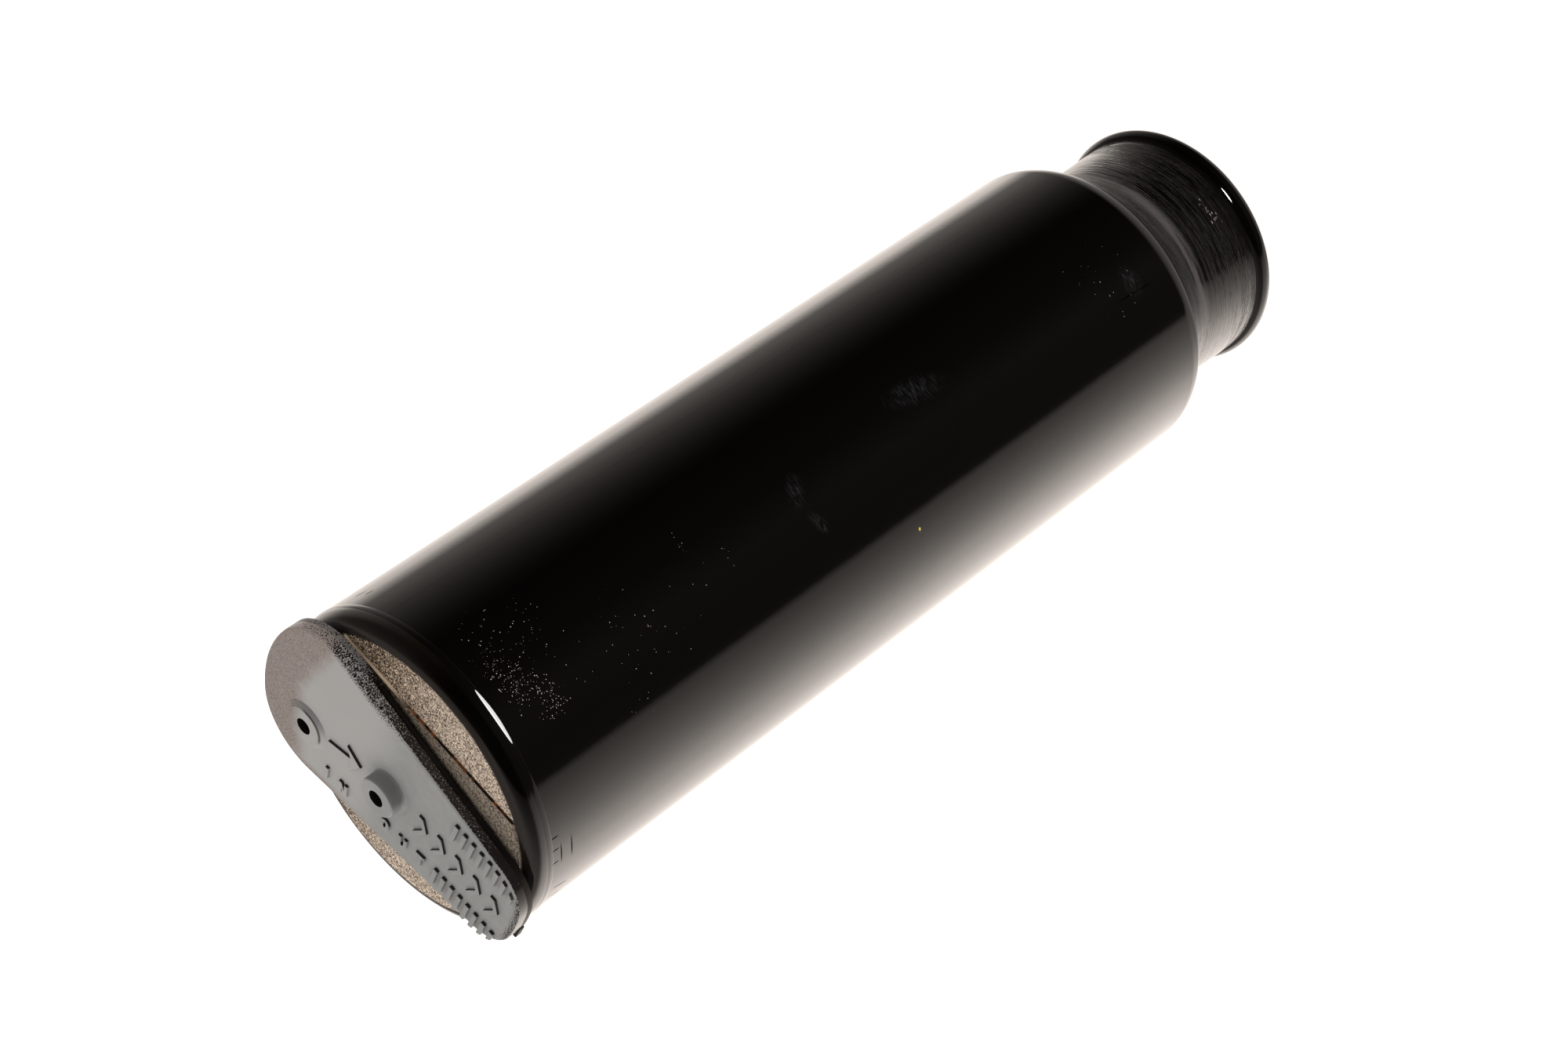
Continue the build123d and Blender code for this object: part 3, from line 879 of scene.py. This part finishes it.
hollows = []
for at, boss_height in ((centre, outlet_boss_height), (inlet, inlet_boss_height)):
    boss_top = cover_top + boss_height
    hole_floor = boss_top - boss_hole_depth
    hollow_foot = gasket_top - plug_depth - mm
    hollow_radius = plug_radius - plug_wall
    hollows.append(round_bar("hole", at, boss_hole_radius, hole_floor, boss_top + mm))
    hollows.append(round_bar("hollow", at, hollow_radius, hollow_foot, hole_floor - boss_floor))
joined(cover, "DIFFERENCE", hollows)
resmoothed(cover, radians(38))

moulding, tree, shader = new_material("grey_moulded_cover")
wall = placed(tree, unrolled, Place=position(tree))
millimetres = in_mm(tree)
across = xyz(tree, millimetres)
facing = xyz(tree, node(tree, "ShaderNodeTexCoord").outputs["Normal"])
top = cover_top / mm

# Spray: a fine rosy film and dots at the wide end and along the lower edge, black dots along the
# upper edge and the tip's, and dots that close up to glossy black on the upper wall
drift = minus(tree, noise(tree, millimetres, 0.16, 3.0), 0.5)
bowed = weighted(tree, across[0], (apart(tree, across[1], 1.0), -0.26), (drift, 4.0))
wide_end = ramp(tree, bowed, -20.5, -25.0)
slope_y = times(tree, across[0], tan(taper))
half_width = cover_half_width / mm
from_upper = minus(tree, half_width, plus(tree, across[1], slope_y))
from_lower = minus(tree, half_width, minus(tree, slope_y, across[1]))
upper_edge = times(tree, ramp(tree, from_upper, 3.2, 0.2), ramp(tree, across[0], 6.0, -10.0))
lower_edge = times(tree, ramp(tree, from_lower, 2.6, 0.4), ramp(tree, across[0], 2.0, -16.0))
tip_edge = times(
    tree,
    ramp(tree, wall["Radius"], 28.6, 30.6),
    ramp(tree, across[1], -10.0, -3.0),
    ramp(tree, across[0], 10.0, 20.0),
)
rosy_area = most(tree, wide_end, lower_edge)
black_edges = times(tree, most(tree, upper_edge, tip_edge), 0.58)
on_wall = times(tree, ramp(tree, across[2], top - 0.15, top - 0.5), ramp(tree, facing[1], -0.1, 0.35))
past_lobe = ramp(tree, across[0], -14.0, 0.0)
at_tip = ramp(tree, across[0], 18.0, 25.0)
closing = weighted(tree, 0.42, (past_lobe, 0.34), (at_tip, 0.2))
dot_cover = most(tree, black_edges, times(tree, rosy_area, 0.28), times(tree, on_wall, closing))
dots = placed(tree, speckle, Place=millimetres, Size=0.25, Cover=dot_cover)["Mask"]

# The grey is mottled, and lighter towards the wide end
mottle = ramp(tree, noise(tree, millimetres, 0.5, 4.0, 0.6), 0.3, 0.7)
mottled_grey = blend(tree, mottle, (0.208, 0.228, 0.238), (0.230, 0.248, 0.256))
grey = blend(tree, ramp(tree, across[0], 2.0, -8.0), mottled_grey, (0.292, 0.312, 0.322))
grains = placed(tree, speckle, Place=millimetres, Size=0.32, Cover=0.52, Softness=0.2)["Mask"]
rosy = blend(tree, grains, (0.255, 0.228, 0.222), (0.172, 0.142, 0.138))
grey = blend(tree, times(tree, rosy_area, 0.92), grey, rosy)

# Painted shade on the far sides of the low raised marks and of the bosses, a dark painted crescent
# along the inlet boss's far edge, and painted shade down in the bosses' holes
from_outlet = vector(tree, "MULTIPLY", millimetres, (1, 1, 0))
from_inlet = vector(tree, "SUBTRACT", from_outlet, tuple(inlet / mm))
centre_distances = [vector(tree, "LENGTH", way) for way in (from_outlet, from_inlet)]
from_boss = math(tree, "MINIMUM", *centre_distances)
above_top = ramp(tree, across[2], top - 0.02, top + 0.06)
# Painted shade on the bosses' walls that face away from the light
painted_boss_shade = times(tree, ramp(tree, facing[1], 0.12, 0.6), ramp(tree, from_boss, 5.9, 5.2), above_top)
grey = blend(tree, times(tree, painted_boss_shade, 0.75), grey, (0.075, 0.082, 0.088))
# A dark painted crescent of shade along the inlet boss's far edge
painted_crescent_shade = times(
    tree,
    ramp(tree, apart(tree, from_boss, 3.85), 0.3, 0.1),
    ramp(tree, vector(tree, "DOT_PRODUCT", from_inlet, (0.6, 0.8, 0)), 1.6, 3.0),
    ramp(tree, across[0], -10.0, -12.0),
)
grey = blend(tree, times(tree, painted_crescent_shade, 0.8), grey, (0.010, 0.009, 0.009))
# Painted shade on the sides of the raised marks that face away from the light
painted_tip_side_shade = times(tree, ramp(tree, facing[0], 0.4, 0.9), 0.3)
painted_far_side_shade = most(tree, ramp(tree, facing[1], 0.10, 0.42), painted_tip_side_shade)
low_mark = times(tree, above_top, ramp(tree, from_boss, 5.4, 6.0))
# Painted shade on the walls and down in the bosses' holes
painted_hole_shade = times(tree, ramp(tree, from_boss, 1.72, 1.60), ramp(tree, facing[2], 0.9, 0.6))
painted_deep_shade = times(tree, ramp(tree, from_boss, 1.7, 1.6), ramp(tree, across[2], top - 2.0, top - 3.0))
painted_shade = most(tree, times(tree, painted_far_side_shade, low_mark), painted_hole_shade, painted_deep_shade)
grey = blend(tree, painted_shade, grey, (0.006, 0.005, 0.005))
colour = blend(tree, dots, grey, (0.010, 0.008, 0.008))
pores = noise(tree, millimetres, 7.0, 2.0)
set_surface(tree, shader, colour, weighted(tree, 0.5, (dots, -0.36)), pores, 0.22, 0.05)

cover.data.materials.clear()
cover.data.materials.append(moulding)
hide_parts("port_cover")
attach(cover, "root")


# Raised signs on the cover, moulded with it: IN and OUT beside their bosses, an arrow that shows
# the way of flow, and a row of plain chevrons towards the tip.
sign_height = 0.5 * mm
sign_sink = 0.15 * mm
sign_round = 0.1 * mm
letter_high = 2.8
letter_wide = 2.1
letter_stroke = 0.75
half_stem = 0.38
words_turned_by = 9.7
arrow_turned_by = 19
chevron_count = 5
chevron_pitch = 4.4
first_chevron = 8.6


def raised_sign(name, mesh, x, y, turned_by):
    """Stand a flat shape, drawn in mm, up from the cover as a raised sign."""
    bmesh.ops.scale(mesh, vec=(mm, mm, mm), verts=mesh.verts)
    bmesh.ops.recalc_face_normals(mesh, faces=mesh.faces)
    thickened(mesh, sign_height + sign_sink)
    bmesh.ops.recalc_face_normals(mesh, faces=mesh.faces)
    top_edges = [
        e
        for e in mesh.edges
        if min(v.co.z for v in e.verts) > sign_height and e.calc_face_angle(0) > 1
    ]
    round_edges(mesh, top_edges, sign_round, 2)
    at = Matrix.Translation((x * mm, y * mm, cover_top - sign_sink))
    turn = Matrix.Rotation(radians(turned_by), 4, "Z")
    bmesh.ops.transform(mesh, matrix=at @ turn, verts=mesh.verts)
    sign = finished(name, mesh)
    sign.data.materials.append(moulding)
    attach(sign, "root")


def flat_shape(outline):
    """Flat face with the given outline."""
    mesh = bmesh.new()
    mesh.faces.new([mesh.verts.new((*point, 0)) for point in outline])
    return mesh


def bow(wide, high, begin, end, steps=10):
    """Points on an oval about the middle of a letter, between two angles in degrees."""
    angles = [radians(begin + (end - begin) * step / steps) for step in range(steps + 1)]
    return [(wide * cos(angle), high * sin(angle)) for angle in angles]


half_wide = letter_wide / 2
half_high = letter_high / 2
inner_wide = half_wide - letter_stroke
inner_high = half_high - letter_stroke
flat_letters = {
    "i": [
        (-half_stem, -half_high),
        (half_stem, -half_high),
        (half_stem, half_high),
        (-half_stem, half_high),
    ],
    "n": [
        (-half_wide, -half_high),
        (-inner_wide, -half_high),
        (-inner_wide, 0.1),
        (inner_wide, -half_high),
        (half_wide, -half_high),
        (half_wide, half_high),
        (inner_wide, half_high),
        (inner_wide, -0.1),
        (-inner_wide, half_high),
        (-half_wide, half_high),
    ],
    "t": [
        (-half_stem, -half_high),
        (half_stem, -half_high),
        (half_stem, inner_high),
        (half_wide, inner_high),
        (half_wide, half_high),
        (-half_wide, half_high),
        (-half_wide, inner_high),
        (-half_stem, inner_high),
    ],
    "u": [
        (-half_wide, half_high),
        *bow(half_wide, half_high, 180, 360),
        (half_wide, half_high),
        (inner_wide, half_high),
        *bow(inner_wide, inner_high, 360, 180),
        (-inner_wide, half_high),
    ],
}
for name, letter, x, y in (
    ("sign_in_i", "i", -11.85, -12.45),
    ("sign_in_n", "n", -7.8, -11.9),
    ("sign_out_u", "u", 6.45, -8.55),
    ("sign_out_t", "t", 10.65, -7.85),
):
    raised_sign(name, flat_shape(flat_letters[letter]), x, y, words_turned_by)

ring_mesh = bmesh.new()
for wide, high in ((half_wide, half_high), (inner_wide, inner_high)):
    loop = [ring_mesh.verts.new((*point, 0)) for point in bow(wide, high, 0, 345, 23)]
    for first, second in zip(loop, loop[1:] + loop[:1]):
        ring_mesh.edges.new((first, second))
bmesh.ops.bridge_loops(ring_mesh, edges=ring_mesh.edges[:])
raised_sign("sign_out_o", ring_mesh, 2.1, -8.9, words_turned_by)

arrow = [(-3.9, -0.5), (1.5, -0.5), (0.9, -3.1), (4.0, 0), (0.9, 3.1), (1.5, 0.5), (-3.9, 0.5)]
raised_sign("sign_flow_arrow", flat_shape(arrow), -9.9, -3.1, arrow_turned_by)

chevron = [(-1.4, -2.7), (-0.3, -2.7), (1.3, 0), (-0.3, 2.7), (-1.4, 2.7), (0.2, 0)]
for step in range(chevron_count):
    along = first_chevron + chevron_pitch * step
    raised_sign(f"sign_chevron_{step + 1}", flat_shape(chevron), along, 0.2, 0)


# Parts inside the can: a steel tube with its rubber rings, sheets and a spring of steel, wire
# gauze, felt, desiccant beads and a moulded strainer. Each keeps its solid from the frame and gets
# its finish here.
def steel(name, colour, dark, roughness, scale):
    """Drawn or pressed steel with fine lines left by its tool."""
    material, tree, shader = new_material(name)
    lines = noise(tree, stretched(tree, position(tree), scale), 1.0, 4.0)
    colour = blend(tree, ramp(tree, lines, 0.3, 0.7), dark, colour)
    set_surface(tree, shader, colour, weighted(tree, roughness, (lines, 0.2)), lines, 0.2, 0.05)
    shader.inputs["Metallic"].default_value = 1.0
    return material


drawn_tube = steel("drawn_tube_steel", (0.56, 0.55, 0.53), (0.4, 0.39, 0.37), 0.2, (2500, 2500, 60))
pressed_sheet = steel(
    "pressed_sheet_steel", (0.56, 0.55, 0.52), (0.38, 0.37, 0.35), 0.28, (300, 300, 300)
)
spring_wire = steel("drawn_spring_wire", (0.3, 0.3, 0.31), (0.16, 0.16, 0.16), 0.3, (900, 900, 900))

gauze, tree, shader = new_material("woven_wire_gauze")
weave = [
    node(
        tree,
        "ShaderNodeTexWave",
        {"Vector": position(tree), "Scale": 520.0},
        wave_type="BANDS",
        bands_direction=direction,
    ).outputs["Fac"]
    for direction in ("X", "Y")
]
wires = most(tree, *weave)
colour = blend(tree, wires, (0.05, 0.05, 0.045), (0.6, 0.58, 0.54))
tree.links.new(ramp(tree, wires, 0.2, 0.5), shader.inputs["Metallic"])
set_surface(tree, shader, colour, weighted(tree, 0.6, (wires, -0.3)), wires, 0.7, 0.2)

felt, tree, shader = new_material("pressed_felt")
fibres = noise(tree, position(tree), 1400.0, 6.0, 0.8, 2.0)
colour = blend(tree, ramp(tree, fibres, 0.3, 0.7), (0.5, 0.47, 0.4), (0.78, 0.75, 0.68))
set_surface(tree, shader, colour, weighted(tree, 0.8, (fibres, 0.15)), fibres, 0.8, 0.3)

beads, tree, shader = new_material("desiccant_beads")
bead_grid = {"Vector": position(tree), "Scale": 480.0}
from_bead = node(tree, "ShaderNodeTexVoronoi", bead_grid).outputs["Distance"]
# Each bead is light in its middle, and the dark between the beads is painted shade
colour = blend(tree, ramp(tree, from_bead, 0.25, 0.7), (0.8, 0.76, 0.68), (0.16, 0.14, 0.11))
roughness = weighted(tree, 0.65, (from_bead, 0.2))
set_surface(tree, shader, colour, roughness, minus(tree, 1.0, from_bead), 1.0, 1.0)

natural, tree, shader = new_material("natural_moulded_strainer")
cloud = noise(tree, position(tree), 300.0, 3.0)
colour = blend(tree, cloud, (0.66, 0.63, 0.55), (0.78, 0.76, 0.7))
tree.links.new(colour, shader.inputs["Base Color"])
tree.links.new(weighted(tree, 0.35, (cloud, 0.2)), shader.inputs["Roughness"])

for name, material, slot in (
    ("pickup_tube", drawn_tube, "tube_steel"),
    ("tube_seal", rubber, "bush_rubber"),
    ("inlet_baffle", pressed_sheet, "sheet_steel"),
    ("bed_spring", spring_wire, "spring_steel"),
    ("upper_plate", pressed_sheet, "sheet_steel"),
    ("upper_gauze", gauze, "wire_gauze"),
    ("upper_pad", felt, "felt"),
    ("desiccant_bed", beads, "desiccant"),
    ("lower_pad", felt, "felt"),
    ("lower_gauze", gauze, "wire_gauze"),
    ("lower_plate", pressed_sheet, "sheet_steel"),
    ("tube_bush", rubber, "bush_rubber"),
    ("strainer_cage", natural, "strainer_moulding"),
    ("strainer_gauze", gauze, "wire_gauze"),
    ("strainer_cap", pressed_sheet, "sheet_steel"),
):
    parts[name].data.materials.clear()
    parts[name].data.materials.append(material)


# Stage: a plain white floor, a soft white surround that is bright behind the can and dark in
# front of it, two soft lamps that light one piece each, and the camera.
floor_mesh = bmesh.new()
bmesh.ops.create_grid(floor_mesh, x_segments=1, y_segments=1, size=6)
floor = finished("floor", floor_mesh)
floor.location.z = -0.0002
white, _, shader = new_material("white_floor")
shader.inputs["Base Color"].default_value = (0.4, 0.4, 0.4, 1)
shader.inputs["Roughness"].default_value = 1.0
shader.inputs["Specular IOR Level"].default_value = 0.0
shader.inputs["Emission Color"].default_value = (1, 1, 1, 1)
shader.inputs["Emission Strength"].default_value = 0.92
floor.data.materials.append(white)
floor.visible_glossy = False
floor.visible_diffuse = False
floor.visible_shadow = False

world = bpy.data.worlds.new("studio")
bpy.context.scene.world = world
world.use_nodes = True
tree = world.node_tree
direction = node(tree, "ShaderNodeTexCoord").outputs["Generated"]
round_about = node(tree, "ShaderNodeTexGradient", {"Vector": direction}, gradient_type="RADIAL")
surround = node(tree, "ShaderNodeValToRGB", {0: round_about.outputs["Fac"]})
brightest = 2.65

# Levels round the surround, each (azimuth in degrees, level): bright behind, dark in front
stops = (
    (-180, 0.36), (-175, 0.40), (-167, 0.50), (-159, 0.54), (-151, 1.21), (-143, 1.77),
    (-135, 1.63), (-127, 1.54), (-119, 1.34), (-111, 1.16), (-105, 1.24), (-95, 1.46),
    (-79, 1.87), (-63, 2.33), (-47, 2.65), (-31, 2.56), (-15, 1.85), (-3, 1.34),
    (5, 1.08), (13, 0.80), (19, 0.64), (24, 0.10), (28, 0.075), (45, 0.075),
    (69, 0.10), (93, 0.045), (117, 0.025), (137, 0.017), (145, 0.041), (153, 0.087),
    (161, 0.148), (177, 0.312),
)
elements = surround.color_ramp.elements
elements.remove(elements[1])
elements[0].position = 0.0
for index, (azimuth, level) in enumerate(stops):
    element = elements[0] if index == 0 else elements.new(azimuth / 360 + 0.5)
    warm = level / brightest
    element.color = (warm, warm * 0.91, warm * 0.84, 1)
upward = xyz(tree, direction)[2]
under = ramp(tree, upward, -0.72, -0.92)
sky = blend(tree, under, surround.outputs["Color"], (0.20, 0.185, 0.176))
background = tree.nodes["Background"]
mirrored = node(tree, "ShaderNodeLightPath").outputs["Is Glossy Ray"]
even = blend(tree, 0.75, sky, (0.344, 0.313, 0.289))
tree.links.new(blend(tree, mirrored, even, sky), background.inputs["Color"])

# Gloss sees the surround dimmed above the can, where the room is dark; matt colours see it soft
# and whole
dimmed = weighted(tree, 1.0, (ramp(tree, upward, -0.12, 0.25), -0.78))
levels = {"Factor": mirrored, 2: 1.4 * brightest, 3: times(tree, dimmed, brightest)}
strength = node(tree, "ShaderNodeMix", levels).outputs[0]
tree.links.new(strength, background.inputs["Strength"])

# Two soft lamps draw the highlights on the bead and on the weld
for name, reached, wide, high, from_height, away, elevation, azimuth, power in (
    ("bead_lamp", can, 0.28, 0.30, 0.12, 1.4, 50, 82, 10),
    ("weld_lamp", weld, 0.25, 0.25, 0.2024, 0.42, -36, 75, 3.8),
):
    lamp_data = bpy.data.lights.new(name, "AREA")
    lamp_data.shape = "ELLIPSE"
    lamp_data.size = wide
    lamp_data.size_y = high
    lamp_data.energy = power
    lamp = bpy.data.objects.new(name, lamp_data)
    bpy.context.scene.collection.objects.link(lamp)
    turn, lift = radians(azimuth), radians(elevation)
    way = Vector((cos(lift) * cos(turn), cos(lift) * sin(turn), sin(lift)))
    lamp.location = Vector((0, 0, from_height)) + way * away
    lamp.rotation_mode = "QUATERNION"
    lamp.rotation_quaternion = way.to_track_quat("Z", "Y")
    lit = bpy.data.collections.new(name)
    lit.objects.link(reached)
    lamp.light_linking.receiver_collection = lit

# The camera stands where the photograph was taken from, as its outlines give it
camera_data = bpy.data.cameras.new("camera")
camera_data.sensor_width = 36
camera_data.lens = 69.72
camera_data.clip_start = 0.01
camera = bpy.data.objects.new("camera", camera_data)
bpy.context.scene.collection.objects.link(camera)
camera.matrix_world = Matrix(
    (
        (0.67149, -0.71149, 0.20707, 0.11433),
        (0.30054, 0.51693, 0.80153, 0.43767),
        (-0.67733, -0.47599, 0.56095, 0.42267),
        (0, 0, 0, 1),
    )
)
bpy.context.scene.camera = camera
bpy.context.scene.view_settings.view_transform = "Standard"
